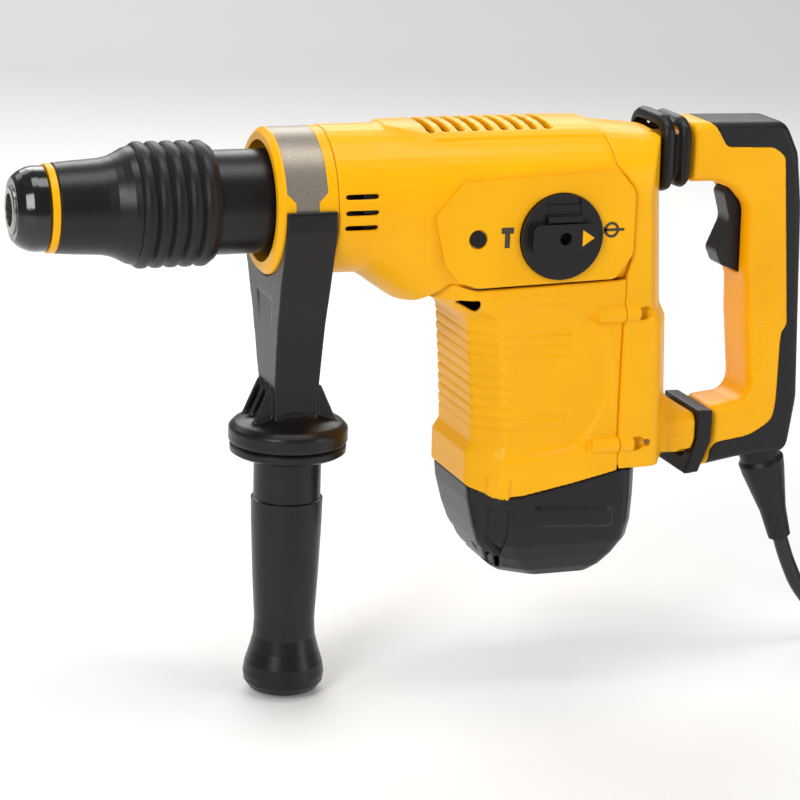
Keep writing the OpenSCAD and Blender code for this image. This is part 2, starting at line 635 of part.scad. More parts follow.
// Joint between the motor housing and the cap
module cap_side(g) {
    slab_xz([[200, split_z + 8 - g], [240, split_z + 8 - g], [256, split_z - 3 - g],
        [266, split_z - 6 - g], [282, split_z - 5.5 - g], [312, split_z - g],
        [seam_x, split_z + 6 - g], [400, split_z + 8 - g], [400, -300], [200, -300]], -80, 80);
}

// Heights of the motor housing with the front face and the inset at each
motor_rows = [[-200, 254, 0], [-143, 253.4, 0], [-137, 255, 2], [-100, 252.6, 2.2],
    [-68, 250.2, 2], [-63, 248, 0.8], [-58, 240, 0.3], [-51, 228, 0], [-30, 225, 0]];
module motor_body(d) {
    skin([for (q = motor_rows) ring_at(motor_plan(q[1], q[2] + d, d), q[0])]);
}

// Screw bosses across the rear joint of the motor housing
screw_y = motor_w - 1.6;
module bosses(x0, x1) {
    for (z = screw_zs, s = [-1, 1]) rod_x(4.8, x0, x1, s * screw_y, z);
}
module screw_holes() {
    for (z = screw_zs, s = [-1, 1]) {
        rod_x(2.2, seam_x - 14, seam_x + 20, s * screw_y, z);
        rod_x(3.7, seam_x + 6, seam_x + 15, s * screw_y, z);
    }
}

module motor_housing() color(amber) difference() {
    union() {
        motor_body(0);
        bosses(seam_x - 17, seam_x);
    }
    motor_body(wall);
    block(seam_x - 4.5, seam_x + 5, -motor_w + wall + 3, motor_w - wall - 3, -150, -58);
    screw_holes();
    difference() {
        block(200, 400, -80, 80, -60, 0);
        below_case(0.05);
    }
    block(200, 400, -80, 80, -40, 0);
    slab_xy(frame_plan(0.05), plate_z - 0.05, -30);
    cap_side(0);
    // Screw pocket under the joint
    for (s = [-1, 1]) slab_xz(soft([[241, -62, 2], [253, -62, 2], [253, -51, 2], [241, -51, 2]]),
        s * (motor_w - 3) - 8, s * (motor_w - 3) + 8);
    // Grip grooves round the front
    for (i = [0:9]) let (z = -72.8 - 6.1 * i, x = i > 2 && i < 8 ? 277 : 309) difference() {
        slab_xz([[200, z - 0.9], [x, z - 0.9], [x, z + 0.9], [200, z + 0.9]], -60, 60);
        skin([for (q = motor_rows) ring_at(motor_plan(q[1], q[2] + 0.9, -1), q[0])]);
    }
}

// Plan of the motor cap: front face, half width at the front, half width and rear face
function cap_plan(f, n, w, r, d = 0) = [[f + d, -n + d * 0.4, 6], [f + 17 + d * 0.4, -w + d, 9],
    [r - 8, -w + d, 8], [r - d, -w + 10, 8], [r - d, w - 10, 8], [r - 8, w - d, 8],
    [f + 17 + d * 0.4, w - d, 9], [f + d, n - d * 0.4, 6]];
cap_w = motor_w - 0.8;
// Height above the bottom, front face, front half width, half width, rear face
cap_rows = [[0, 281, 15, 29, 338], [5, 274, 20, 34, 343], [13, 268, 23, 38.5, 349],
    [22, 263.5, 25.5, cap_w - 2.4, 353], [32, 260, motor_nose - 1, cap_w - 0.6, 354.4],
    [47, 256.2, motor_nose, cap_w, 355], [80, 252.5, motor_nose, cap_w, 355]];
module cap_body(d) {
    skin([for (q = cap_rows) ring_at(cap_plan(q[1], q[2], q[3], q[4], d), motor_bot + q[0] + d)]);
}

module motor_cap() color(coal) {
    difference() {
        intersection() {
            cap_body(0);
            cap_side(0.15);
        }
        cap_body(wall);
        // Slanted outlets low on the front corners
        for (i = [0:3], s = [-1, 1]) translate([263 + 4.6 * i, 0, motor_bot + 15 - 2 * i])
            rotate([0, -22, 0]) block(-1, 1, s > 0 ? 12 : -60, s > 0 ? 60 : -12, -5.5, 5.5);
        // Outlets low on the rear corners
        for (s = [-1, 1]) translate([349, s * 31, motor_bot + 13]) rotate([0, 35, 0])
            block(-5, 5, -8, 8, -3.4, 3.4);
    }
    // Seat of the lower bearing and the stator
    difference() {
        rod_z(17, motor_x, 0, motor_bot + wall - 0.5, -180);
        rod_z(13, motor_x, 0, -187, -170);
        rod_z(shaft_d / 2 + 1, motor_x, 0, -192, -180);
    }
}

// ---- rear housing ----

function rear_side() = [[seam_x, split_z + 9, 1], [342, -174, 3], [352, -177, 4],
    [364, -172.5, 4], [372, -167.5, 3], [391.7, -165.5, 1], [398.7, -147, 4], [398.7, -131, 1],
    [390, -129, 5], [378, -117, 6], [375, -70, 4], [371, -62, 4],
    [366.5, 37, 8], [350, 41.5, 12], [328, 43.5, 2], [seam_x - 9.5, 34, 1],
    [seam_x - 8, 21, 1], [342, 8, 1], [342, -29, 4], [seam_x, -43, 4]];

// Plan of the rear housing with its rear face at x = r
function rear_plan(r, d) = let (w = motor_w - d) [[300, -w, 1], [r - 14, -w, 7],
    [r - d, -22 + d * 0.4, 6], [r - d, 22 - d * 0.4, 6], [r - 14, w, 7], [300, w, 1]];
rear_rows = [[-200, 379], [-115, 377], [-70, 375], [-62, 371], [4, 367], [70, 366]];

module rear_body(d) {
    intersection() {
        slab_xz(soft(inset(rear_side(), d)), -80, 80);
        skin([for (q = rear_rows) ring_at(rear_plan(q[1], d), q[0])]);
        union() {
            case_skin(d, concat(case_rows(), [[375, body_w - 6, crown_h - 6, 68, 2.4]]));
            block(300, 420, -80, 80, -200, -20);
        }
    }
}

// Arm that carries the pivot of the handle
arm_w = 22;
module rear_arm(d) {
    intersection() {
        slab_xz(soft(inset(rear_side(), d)), -80, 80);
        skin([for (q = [[-180, 5], [-162, 3], [-158, 0], [-136, 0], [-130, 4], [-115, 6]])
            [for (v = [[340, -arm_w + q[1] + d], [405, -arm_w + q[1] + d],
                [405, arm_w - q[1] - d], [340, arm_w - q[1] - d]]) [v[0], v[1], q[0]]]]);
    }
}

module rear_housing() color(amber) difference() {
    union() {
        rear_body(0);
        rear_arm(0);
        difference() {
            bosses(seam_x, seam_x + 9);
            block(300, seam_x, -80, 80, -200, 0);
        }
    }
    difference() {
        rear_body(wall);
        block(300, 345.2, -12, 12, 12, 30);
        // Solid ground round the screws
        for (z = screw_zs, s = [-1, 1]) rod_x(6.4, 300, seam_x + 18, s * screw_y, z);
    }
    block(300, seam_x + wall + 1, -motor_w + wall + 3, motor_w - wall - 3, -150, -58);
    // The neck and the lower arm stay open towards the handle
    block(360, 378, -16.5, 16.5, 6.5, 34.5);
    slab_xz([[372, -162], [420, -162], [420, -133], [372, -133]], -17, 17);
    rod_y(pivot_d / 2 + run_gap, pivot_x, pivot_z, -40, 40);
    // The motor cap tucks in below
    cap_side(-0.1);
    intersection() {
        skin([ring_at(cap_plan(252, motor_nose, cap_w + 0.4, 355.4), motor_bot),
            ring_at(cap_plan(252, motor_nose, cap_w + 0.4, 355.4), split_z + 8.6)]);
        block(300, 400, -80, 80, -300, split_z + 8.6);
    }
    screw_holes();
}

screw_zs = [-63, -139];
module body_screws() color(steel) for (z = screw_zs, s = [-1, 1]) {
    rod_x(2, seam_x - 12, seam_x + 6.01, s * screw_y, z);
    rod_x(3.5, seam_x + 6, seam_x + 8, s * screw_y, z);
}

module control_board() color("#2F6B45") {
    block(369.2, 370.8, -20, 20, -112, -70);
    block(362, 369.3, -12, 12, -108, -90);
    block(364, 369.3, -18, -12, -84, -74);
}

// ---- rear handle ----

pivot_x = 386;
pivot_z = -148;

// Bellows between the body and the handle
module upper_boot() color(coal) difference() {
    skin([for (q = [[367.1, -1], [367.8, 2.4], [370.4, 3.6], [373.6, 3], [376.6, -1.6], [378, -1.6], [380, 1.2],
        [383, 2], [385.4, 0.4], [386.6, -2]])
        [for (v = soft([[-22, 6, 8], [-14, 4, 6], [14, 4, 6], [22, 6, 8], [22, 36, 9],
            [13, 41, 8], [-13, 41, 8], [-22, 36, 9]], 3))
            [q[0], v[0] * (1 + q[1] / 22), 22.5 + (v[1] - 22.5) * (1 + q[1] / 18.5)]]]);
    slab_yz(soft([[-19.6, 7.5, 6], [19.6, 7.5, 6], [19.6, 38, 6], [-19.6, 38, 6]], 3), 360, 400);
}

module lower_boot() color(coal) {
    p = [[392.2, -166.6], [401, -165.8], [408.2, -147], [408.4, -129], [399.1, -128.4],
        [399.1, -147]];
    difference() {
        slab_xz(p, -24, 24);
        slab_xz([[380, -158.6], [430, -158.6], [430, -137.4], [380, -137.4]], -14, 14);
    }
}

function handle_outer() = [[402.4, -165.5, 3], [431, -161, 40], [462, -160, 8],
    [466.5, -126, 30], [461, -11, 60], [457, 20, 12], [448, 38.5, 9], [388.2, 39.5, 3.4],
    [387.4, 4.5, 3.4], [404, 4.5, 10], [416, 0, 6], [425, -10, 9], [426, -50, 9],
    [428.6, -57, 9], [429.3, -76, 60], [434, -119, 12], [430, -126.5, 7], [409.4, -128.5, 4],
    [409.4, -147, 10]];

function pad_line() = [[394, 60], [394, 43], [402, 37.5], [406, 30.5], [409.5, 25],
    [439.5, 24], [447, 18.5], [455, -81], [451.5, -86], [451.3, -126.5], [449.6, -138.5],
    [436, -147], [413.5, -150], [410, -154], [409, -180]];

module handle_solid() {
    p = handle_outer();
    h = handle_w;
    intersection() {
        skin([for (q = [[h + 1.4, 5.1], [h - 1.4, 1.7], [h - 4.4, 0.4], [h - 7, 0], [-h + 7, 0],
            [-h + 4.4, 0.4], [-h + 1.4, 1.7], [-h - 1.4, 5.1]])
            [for (v = soft(inset(p, q[1]), 3)) [v[0], q[0], v[1]]]]);
        block(350, 500, -h, h, -200, 100);
    }
}

module pad_side() slab_xz(concat(pad_line(), [[480, -180], [480, 60]]), -40, 40);

module handle_half(s) {
    y0 = s > 0 ? 0 : -40;
    difference() {
        intersection() {
            union() {
                difference() {
                    handle_solid();
                    pad_side();
                }
                // Tongues into the body: damper above, pivot below
                block(358, 392, -13, 13, 10.5, 31);
                slab_xz([[pivot_x - 8, pivot_z - 8], [407.6, pivot_z - 9], [411.5, pivot_z + 9],
                    [pivot_x - 8, pivot_z + 8]], -13, 13);
            }
            block(360, 480, y0, y0 + 40, -200, 60);
        }
        rod_y(pivot_d / 2 + run_gap, pivot_x, pivot_z, -40, 40);
        // Hollow of the switch and the trigger mouth
        block(434, 447.8, -handle_w + 4, handle_w - 4, -56, -10);
        block(405, 435, -trigger_w - free_gap, trigger_w + free_gap, -51, 1);
        rod_y(2.05, trigger_x, trigger_z, -13.1, 13.1);
        guard_pocket();
    }
}

trigger_x = 427;
trigger_z = -4;

module guard_pocket() translate([guard_x, 0, guard_z]) rotate([0, 180 - guard_tilt, 0])
    rotate([0, 0, 50]) translate([0, 0, -14.1]) cylinder(r = 12 + fit_gap, h = 60, $fn = 64);

module handle_left() color(amber) handle_half(-1);
module handle_right() color(amber) handle_half(1);

module handle_pad() color(coal) difference() {
    intersection() {
        handle_solid();
        pad_side();
    }
    guard_pocket();
}

module pivot_pin() color(steel) rod_y(pivot_d / 2, pivot_x, pivot_z, -arm_w + 0.5, arm_w - 0.5);

module damper_spring() color(steel) translate([0, 0, 21]) spring_x(345.4, 357.6, 8, 2, 3);

module trigger() color(coal) difference() {
    slab_xz(soft([[432, -1.5, 2], [420, 0.4, 3], [414.6, -3, 4], [419.5, -20, 9],
        [411.8, -38, 4], [415.5, -46.4, 4], [424, -49.6, 3], [430, -47, 2], [432.5, -30, 4]]),
        -trigger_w, trigger_w);
    rod_y(2.05, trigger_x, trigger_z, -20, 20);
}

module trigger_pin() color(steel) rod_y(2, trigger_x, trigger_z, -13, 13);

module trigger_spring() color(steel) translate([0, 0, -36]) spring_x(432.9, 437.7, 3.4, 0.9, 3);

module switch_body() color("#3A3A3C") {
    block(438, 447.6, -handle_w + 4.2, handle_w - 4.2, -54, -12);
    block(436, 438.1, -5, 5, -26, -16);
}

// ---- cord ----

module cord_guard() color(coal) translate([guard_x, 0, guard_z])
    rotate([0, 180 - guard_tilt, 0]) difference() {
        rotate_extrude($fn = 64) polygon([[0, -13.8], [12, -13.8], [12, 6.5], [13.6, 9],
            [13, 15], [8, 42], [6.8, guard_l], [0, guard_l]]);
        translate([0, 0, -20]) cylinder(r = cord_r + seat_gap, h = guard_l + 40, $fn = 64);
    }

// Tube of twelve sides swept along a route
module sweep(route, r) {
    n = len(route) - 1;
    skin([for (i = [0:n]) let (t = unit(route[min(i + 1, n)] - route[max(i - 1, 0)]),
            s = unit(cross([0, 0.001, 1], t)), u = cross(t, s))
        [for (k = [0:11]) route[i] + r * (cos(30 * k) * s + sin(30 * k) * u)]]);
}

module cord_tube() color(coal) sweep(cord_run, cord_r);
module cord_tail() color(coal) sweep(tail_run, cord_r);

module cord_coil() color(coal) translate([coil_c[0], coil_c[1], floor_z])
    rotate_extrude($fn = 96) polygon(soft([[coil_mid - coil_w / 2, 0, 6],
        [coil_mid + coil_w / 2, 0, 6], [coil_mid + coil_w / 2, coil_h, 10],
        [coil_mid - coil_w / 2, coil_h, 10]]));

module plug_body() color(coal) {
    turn_about_plug([[0, 0], [0, 8], [-14, 11], [-22, 18.5], [-42, 19], [-44, 17.5], [-44, 0]]);
}
module turn_about_plug(p) {
    translate([plug_x, plug_y, plug_z]) rotate([0, 90, 0])
        rotate_extrude($fn = 64) polygon([for (q = p) [q[1], q[0]]]);
}
module plug_pins() color(steel) for (s = [-1, 1])
    rod_x(2.4, plug_x - 62, plug_x - 44.02, plug_y + s * 9.5, plug_z);

dust_cap();
sleeve_ring();
lock_sleeve();
sleeve_grip();
lock_ring();
lock_spring();
lock_rollers();
tool_holder();
barrel_tube();
cylinder_tube();  // cylinder
beat_piece();
ram();
piston();
front_bearing();
rear_bearing();
bevel_gear();
clamp_ring();
clamp_strap();
clamp_cradle();
clamp_bolt();
side_grip();
gear_housing();
dial_plate();
plate_screw();
mode_dial();
dial_button();
dial_pointer();
gear_frame();
crank();
inter_gear();
rotor();
fan();
stator();
upper_bearing();
lower_bearing();
brushes();
motor_housing();
motor_cap();
rear_housing();
body_screws();
control_board();
upper_boot();
lower_boot();
handle_left();
handle_right();
handle_pad();
pivot_pin();
damper_spring();
trigger();
trigger_pin();
trigger_spring();
switch_body();
cord_guard();
cord_tube();
cord_coil();
cord_tail();
plug_body();
plug_pins();
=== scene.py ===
"""Looks of a demolition hammer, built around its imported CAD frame.

The CAD parts are dressed in procedural finishes. The moulded housings, the rear handle, the
boots and the trigger are stood for by softer pieces made from merged copies of their parts.
"""

from __future__ import annotations

import json
import logging
import math
from dataclasses import dataclass, field
from enum import Enum
from typing import Callable, Iterable, Optional, Sequence

import bmesh
import bpy
import numpy as np
from mathutils import Matrix, Vector

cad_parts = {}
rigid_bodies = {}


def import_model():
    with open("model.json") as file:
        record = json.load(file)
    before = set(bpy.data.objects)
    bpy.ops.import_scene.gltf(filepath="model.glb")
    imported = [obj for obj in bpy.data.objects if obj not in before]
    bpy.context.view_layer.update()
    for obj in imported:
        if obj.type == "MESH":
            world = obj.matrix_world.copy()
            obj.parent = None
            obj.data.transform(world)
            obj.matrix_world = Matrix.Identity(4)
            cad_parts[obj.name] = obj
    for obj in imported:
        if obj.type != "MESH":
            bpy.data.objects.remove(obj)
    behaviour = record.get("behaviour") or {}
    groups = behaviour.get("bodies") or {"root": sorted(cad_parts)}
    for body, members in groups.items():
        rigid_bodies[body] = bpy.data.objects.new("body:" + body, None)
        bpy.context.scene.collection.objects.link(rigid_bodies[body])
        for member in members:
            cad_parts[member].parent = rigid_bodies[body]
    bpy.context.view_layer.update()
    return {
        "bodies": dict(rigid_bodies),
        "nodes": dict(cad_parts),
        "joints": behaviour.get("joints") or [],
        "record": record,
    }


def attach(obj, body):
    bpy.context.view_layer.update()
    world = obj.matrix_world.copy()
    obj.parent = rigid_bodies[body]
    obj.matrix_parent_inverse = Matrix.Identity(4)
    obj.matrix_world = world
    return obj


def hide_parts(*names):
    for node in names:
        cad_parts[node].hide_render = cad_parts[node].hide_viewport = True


log = logging.getLogger("hammer")
MM = 0.001
Point = tuple[float, float]
Sculpt = Callable[[np.ndarray, np.ndarray], np.ndarray]


class Slot(Enum):
    """Material slots of the record."""

    YELLOW = "yellow_plastic"
    BLACK = "black_plastic"
    RUBBER = "black_rubber"
    GLOSS = "gloss_rubber"
    STRAP = "painted_strap"
    STEEL = "bright_steel"
    ALLOY = "cast_alloy"
    COPPER = "copper_winding"
    BOARD = "board_green"


# ---- finishes ----


def srgb(code: str) -> tuple[float, float, float, float]:
    """Turns an sRGB hex value into linear colour.

    Args:
        code: Six hex digits.

    Returns:
        Linear red, green, blue and an alpha of one.
    """
    parts = [int(code[i : i + 2], 16) / 255 for i in (0, 2, 4)]
    return (*[p / 12.92 if p <= 0.04045 else ((p + 0.055) / 1.055) ** 2.4 for p in parts], 1.0)


def add(
    tree: bpy.types.NodeTree, kind: str, inputs: Optional[dict] = None, **settings: object
) -> bpy.types.Node:
    """Adds one shader node with its settings and links.

    Args:
        tree: Node tree that gets the node.
        kind: Node type without its ShaderNode prefix.
        inputs: Socket name or index to an output socket, which is linked, or to a value.
        **settings: Properties of the node.

    Returns:
        The new node.
    """
    made = tree.nodes.new("ShaderNode" + kind)
    for key, value in settings.items():
        setattr(made, key, value)
    for key, value in (inputs or {}).items():
        if isinstance(value, bpy.types.NodeSocket):
            tree.links.new(value, made.inputs[key])
        else:
            made.inputs[key].default_value = value
    return made


@dataclass(frozen=True)
class Finish:
    """A real material and how its surface was made."""

    name: str
    colour: str
    shade: str
    worn: str
    roughness: float
    spread: float = 0.06
    metallic: float = 0.0
    grain_mm: float = 0.7
    depth_mm: float = 0.02
    round_mm: float = 0.5
    wear: float = 0.35
    coat: float = 0.0
    ior: float = 1.5
    stretch: tuple[float, float, float] = (1.0, 1.0, 1.0)
    speck: str = ""
    speck_mm: float = 0.8
    patch_mm: float = 70.0
    glow: float = 0.0
    gloss: float = 0.5

    def material(self) -> bpy.types.Material:
        """Builds the node material once and returns it."""
        found = bpy.data.materials.get(self.name)
        if found:
            return found
        made = bpy.data.materials.new(self.name)
        made.use_nodes = True
        tree = made.node_tree
        tree.nodes.clear()
        place = add(tree, "TexCoord").outputs["Object"]
        grain_place = add(tree, "Mapping", {"Vector": place, "Scale": self.stretch}).outputs["Vector"]
        # Slow change of tone across a moulding
        patch = add(tree, "TexNoise", {"Vector": place, "Scale": 1000 / self.patch_mm, "Detail": 3.0})
        tone = add(tree, "MapRange", {"Value": patch.outputs["Fac"], "From Min": 0.35, "From Max": 0.65})
        base = add(
            tree,
            "Mix",
            {"Factor": tone.outputs["Result"], 6: srgb(self.colour), 7: srgb(self.shade)},
            data_type="RGBA",
        ).outputs[2]
        # Fine texture of the tool steel, the brush or the spray
        grain = add(
            tree,
            "TexNoise",
            {"Vector": grain_place, "Scale": 1000 / self.grain_mm, "Detail": 4.0, "Roughness": 0.6},
        )
        if self.speck:
            dots = add(tree, "TexNoise", {"Vector": place, "Scale": 1000 / self.speck_mm, "Detail": 2.0})
            mask = add(
                tree,
                "MapRange",
                {"Value": dots.outputs["Fac"], "From Min": 0.5, "From Max": 0.68},
                interpolation_type="SMOOTHSTEP",
            )
            base = add(
                tree,
                "Mix",
                {"Factor": mask.outputs["Result"], 6: base, 7: srgb(self.speck)},
                data_type="RGBA",
            ).outputs[2]
        # Edges rounded by the mould radius, and rubbed paler there
        soft = add(tree, "Bevel", {"Radius": self.round_mm * MM}, samples=6)
        flat = add(tree, "NewGeometry")
        match = add(
            tree,
            "VectorMath",
            {0: soft.outputs["Normal"], 1: flat.outputs["Normal"]},
            operation="DOT_PRODUCT",
        )
        edge = add(
            tree,
            "MapRange",
            {"Value": match.outputs["Value"], "From Min": 0.99, "From Max": 0.8, "To Max": self.wear},
        )
        base = add(
            tree,
            "Mix",
            {"Factor": edge.outputs["Result"], 6: base, 7: srgb(self.worn)},
            data_type="RGBA",
        ).outputs[2]
        rough = add(
            tree,
            "MapRange",
            {
                "Value": grain.outputs["Fac"],
                "From Min": 0.3,
                "From Max": 0.7,
                "To Min": max(self.roughness - self.spread, 0.02),
                "To Max": min(self.roughness + self.spread, 1.0),
            },
        )
        bump = add(
            tree,
            "Bump",
            {
                "Height": grain.outputs["Fac"],
                "Normal": soft.outputs["Normal"],
                "Distance": self.depth_mm * MM,
                "Strength": 1.0,
            },
        )
        shader = add(
            tree,
            "BsdfPrincipled",
            {
                "Base Color": base,
                "Roughness": rough.outputs["Result"],
                "Normal": bump.outputs["Normal"],
                "Metallic": self.metallic,
                "Coat Weight": self.coat,
                "Coat Roughness": 0.12,
                "IOR": self.ior,
                "Specular IOR Level": self.gloss,
                "Emission Color": (1.0, 1.0, 1.0, 1.0),
                "Emission Strength": self.glow,
            },
        )
        add(tree, "OutputMaterial", {"Surface": shader.outputs["BSDF"]})
        return made

    def dress(self, piece: bpy.types.Object) -> None:
        """Puts the finish on a piece.

        Args:
            piece: Object whose every slot gets the finish.
        """
        if not piece.material_slots:
            piece.data.materials.append(self.material())
        for slot in piece.material_slots:
            slot.material = self.material()


# Glass-filled nylon, moulded in a lightly spark-eroded tool: satin amber with a fine grain
NYLON = Finish("amber_glass_filled_nylon", "FBB600", "F5AE00", "FFC52E", 0.36, grain_mm=0.9,
               depth_mm=0.03, wear=0.35, ior=1.4, gloss=0.33)
# Glass-filled nylon, dyed black: satin charcoal with paler rubbed edges
BLACK_NYLON = Finish("black_glass_filled_nylon", "110F10", "161314", "3E3A3B", 0.33, grain_mm=0.9,
                     depth_mm=0.04, ior=1.4)
# Thermoplastic elastomer moulded over the grips: matt and slightly soft-looking
ELASTOMER = Finish("black_overmoulded_elastomer", "131112", "181516", "302D2E", 0.42, grain_mm=0.8,
                   depth_mm=0.05, round_mm=0.8, ior=1.38)
# Nitrile rubber of the dust cap, polished in the mould: near-black gloss
NITRILE = Finish("polished_nitrile_rubber", "060506", "0B0A0B", "1C1B1C", 0.16, grain_mm=1.5,
                 depth_mm=0.01, coat=0.3)
# PVC of the flex: black with a faint sheen
PVC = Finish("black_pvc_flex", "111010", "161515", "2A2929", 0.42, grain_mm=1.2, depth_mm=0.03)
# Steel band under metallic paint: warm grey with a coarse flake
PAINT = Finish(
    "metallic_paint_on_steel", "8C8378", "958B7F", "B4AA9E", 0.4, metallic=0.6, grain_mm=0.6, depth_mm=0.03,
    speck="A59B8F", speck_mm=0.7,
)
# Ground and oiled steel of the tool holder and pins
STEEL = Finish("ground_steel", "B9B6B0", "A5A29C", "D8D6D2", 0.28, metallic=1.0, grain_mm=0.6, depth_mm=0.01,
               stretch=(0.1, 1.0, 1.0))
# Blackened steel of the screws
BLACK_OXIDE = Finish("black_oxide_steel", "2A2827", "343130", "6B6866", 0.38, metallic=0.9, grain_mm=0.5)
# Die-cast aluminium: pale grey, lightly tumbled
CASTING = Finish("die_cast_aluminium", "A3A09B", "8F8C87", "C9C7C3", 0.5, metallic=1.0, grain_mm=1.2,
                 depth_mm=0.05)
# Enamelled copper wire and varnished laminations
WINDING = Finish("varnished_copper_winding", "8F5A32", "6E4526", "B87B4B", 0.35, metallic=0.7, grain_mm=0.8,
                 depth_mm=0.1, stretch=(1.0, 1.0, 4.0))
# Solder-masked glass-epoxy board
BOARD = Finish("green_solder_mask", "2F6B45", "28603C", "5F9370", 0.3, grain_mm=1.5)
# Pad-printed ink of the dial marks
INK = Finish("black_pad_print", "3A3120", "423823", "5A5038", 0.5, grain_mm=0.6, depth_mm=0.01, wear=0.1)
# Matt paint of the studio floor
FLOOR = Finish("pale_floor_paint", "E9E9E8", "E7E7E6", "ECECEB", 0.75, grain_mm=3.0, depth_mm=0.02, wear=0.0,
               patch_mm=900.0, glow=0.12)


# ---- mesh helpers ----


def object_from(bm: bmesh.types.BMesh, name: str, smooth: bool = True) -> bpy.types.Object:
    """Turns a bmesh in metres into an object at the origin and frees it.

    Args:
        bm: Mesh to turn, freed here.
        name: Name of the object and of its mesh.
        smooth: Whether its faces are shaded smooth.

    Returns:
        The new object, linked to the scene.
    """
    mesh = bpy.data.meshes.new(name)
    bm.to_mesh(mesh)
    bm.free()
    mesh.polygons.foreach_set("use_smooth", [smooth] * len(mesh.polygons))
    made = bpy.data.objects.new(name, mesh)
    bpy.context.scene.collection.objects.link(made)
    return made


def applied(piece: bpy.types.Object) -> bpy.types.Object:
    """Applies a piece's modifiers to its mesh.

    Args:
        piece: Object with live modifiers.

    Returns:
        The same object.
    """
    graph = bpy.context.evaluated_depsgraph_get()
    mesh = bpy.data.meshes.new_from_object(piece.evaluated_get(graph))
    piece.modifiers.clear()
    piece.data = mesh
    return piece


def merged_copy(frame: dict, nodes: Iterable[str]) -> bmesh.types.BMesh:
    """Copies CAD nodes into one bmesh with their doubled vertices merged.

    Args:
        frame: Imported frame.
        nodes: Names of the nodes.

    Returns:
        The merged mesh in metres.
    """
    bm = bmesh.new()
    for name in nodes:
        bm.from_mesh(frame["nodes"][name].data)
    bmesh.ops.remove_doubles(bm, verts=bm.verts, dist=1e-6)
    return bm


def step(values: np.ndarray, low: float, high: float) -> np.ndarray:
    """Smooth step from 0 at low to 1 at high.

    Args:
        values: Numbers to step.
        low: Where the step starts.
        high: Where it ends.

    Returns:
        Weights from 0 to 1.
    """
    t = np.clip((values - low) / (high - low), 0.0, 1.0)
    return t * t * (3 - 2 * t)


def depth_in(points: np.ndarray, outline: Sequence[Point]) -> np.ndarray:
    """Signed distance into an outline.

    Args:
        points: Rows of two numbers in mm.
        outline: Corners of a closed outline in mm.

    Returns:
        Distance to the outline, positive inside it.
    """
    corners = np.array(outline, float)
    ends = np.roll(corners, -1, 0)
    nearest = np.full(len(points), 1e9)
    inside = np.zeros(len(points), bool)
    for a, b in zip(corners, ends):
        along = b - a
        t = np.clip(((points - a) @ along) / (along @ along), 0, 1)
        nearest = np.minimum(nearest, np.linalg.norm(points - a - t[:, None] * along, axis=1))
        if a[1] != b[1]:
            crossing = (a[1] > points[:, 1]) != (b[1] > points[:, 1])
            x = a[0] + (points[:, 1] - a[1]) * along[0] / along[1]
            inside ^= crossing & (points[:, 0] < x)
    return np.where(inside, nearest, -nearest)


def rounded(outline: Sequence[tuple[float, float, float]], steps: int = 4) -> list[Point]:
    """Rounds each corner of an outline with a quadratic curve.

    Args:
        outline: Corners as x, y and radius in mm.
        steps: Segments of each corner.

    Returns:
        Points of the rounded outline.
    """
    made: list[Point] = []
    count = len(outline)
    for i, (x, y, r) in enumerate(outline):
        here = Vector((x, y))
        before = (Vector(outline[i - 1][:2]) - here).normalized() * r
        after = (Vector(outline[(i + 1) % count][:2]) - here).normalized() * r
        if r == 0:
            made.append((x, y))
            continue
        for k in range(steps + 1):
            t = k / steps
            p = here + before * (1 - t) ** 2 + after * t**2
            made.append((p.x, p.y))
    return made


def carve(piece: bpy.types.Object, sculpt: Sculpt) -> None:
    """Moves each vertex along its normal.

    Args:
        piece: Object whose mesh is moved.
        sculpt: Gives the distance in mm from the places in mm and the normals.
    """
    mesh = piece.data
    count = len(mesh.vertices)
    places = np.empty(count * 3)
    normals = np.empty(count * 3)
    mesh.vertices.foreach_get("co", places)
    mesh.vertices.foreach_get("normal", normals)
    places, normals = places.reshape(-1, 3), normals.reshape(-1, 3)
    moved = places + normals * sculpt(places / MM, normals)[:, None] * MM
    mesh.vertices.foreach_set("co", moved.ravel())
    mesh.update()


@dataclass
class SoftCopy:
    """A piece made from merged copies of CAD nodes, with the edges that a mould rounds."""

    name: str
    nodes: tuple[str, ...]
    body: str
    slot: Slot
    finish: Finish
    voxel_mm: float = 0.9
    rounds: int = 6
    sculpt: Optional[Sculpt] = None
    most_faces: int = 95000

    def build(self, frame: dict) -> bpy.types.Object:
        """Args:
            frame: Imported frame.

        Returns:
            The finished object.
        """
        piece = self.mesh(frame)
        self.declare(piece)
        return piece

    def mesh(self, frame: dict) -> bpy.types.Object:
        """Remeshes the merged copy, smooths it and sculpts it.

        Args:
            frame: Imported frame.

        Returns:
            The bare object.
        """
        piece = object_from(merged_copy(frame, self.nodes), self.name)
        remesh = piece.modifiers.new("even_faces", "REMESH")
        remesh.mode, remesh.voxel_size, remesh.use_smooth_shade = "VOXEL", self.voxel_mm * MM, True
        smooth = piece.modifiers.new("mould_radius", "SMOOTH")
        smooth.factor, smooth.iterations = 0.5, self.rounds
        applied(piece)
        if self.sculpt:
            carve(piece, self.sculpt)
        faces = len(piece.data.polygons)
        if faces > self.most_faces:
            thin = piece.modifiers.new("lighter", "DECIMATE")
            thin.ratio = self.most_faces / faces
            applied(piece)
        piece.data.polygons.foreach_set("use_smooth", [True] * len(piece.data.polygons))
        return piece

    def declare(self, piece: bpy.types.Object) -> None:
        """Gives the piece its body and finish, and hides the nodes that it stands for.

        Args:
            piece: Object made by mesh.
        """
        self.finish.dress(piece)
        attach(piece, self.body)
        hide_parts(*self.nodes)
        log.info("%s: %d faces", self.name, len(piece.data.polygons))


# ---- camera, lights and floor ----


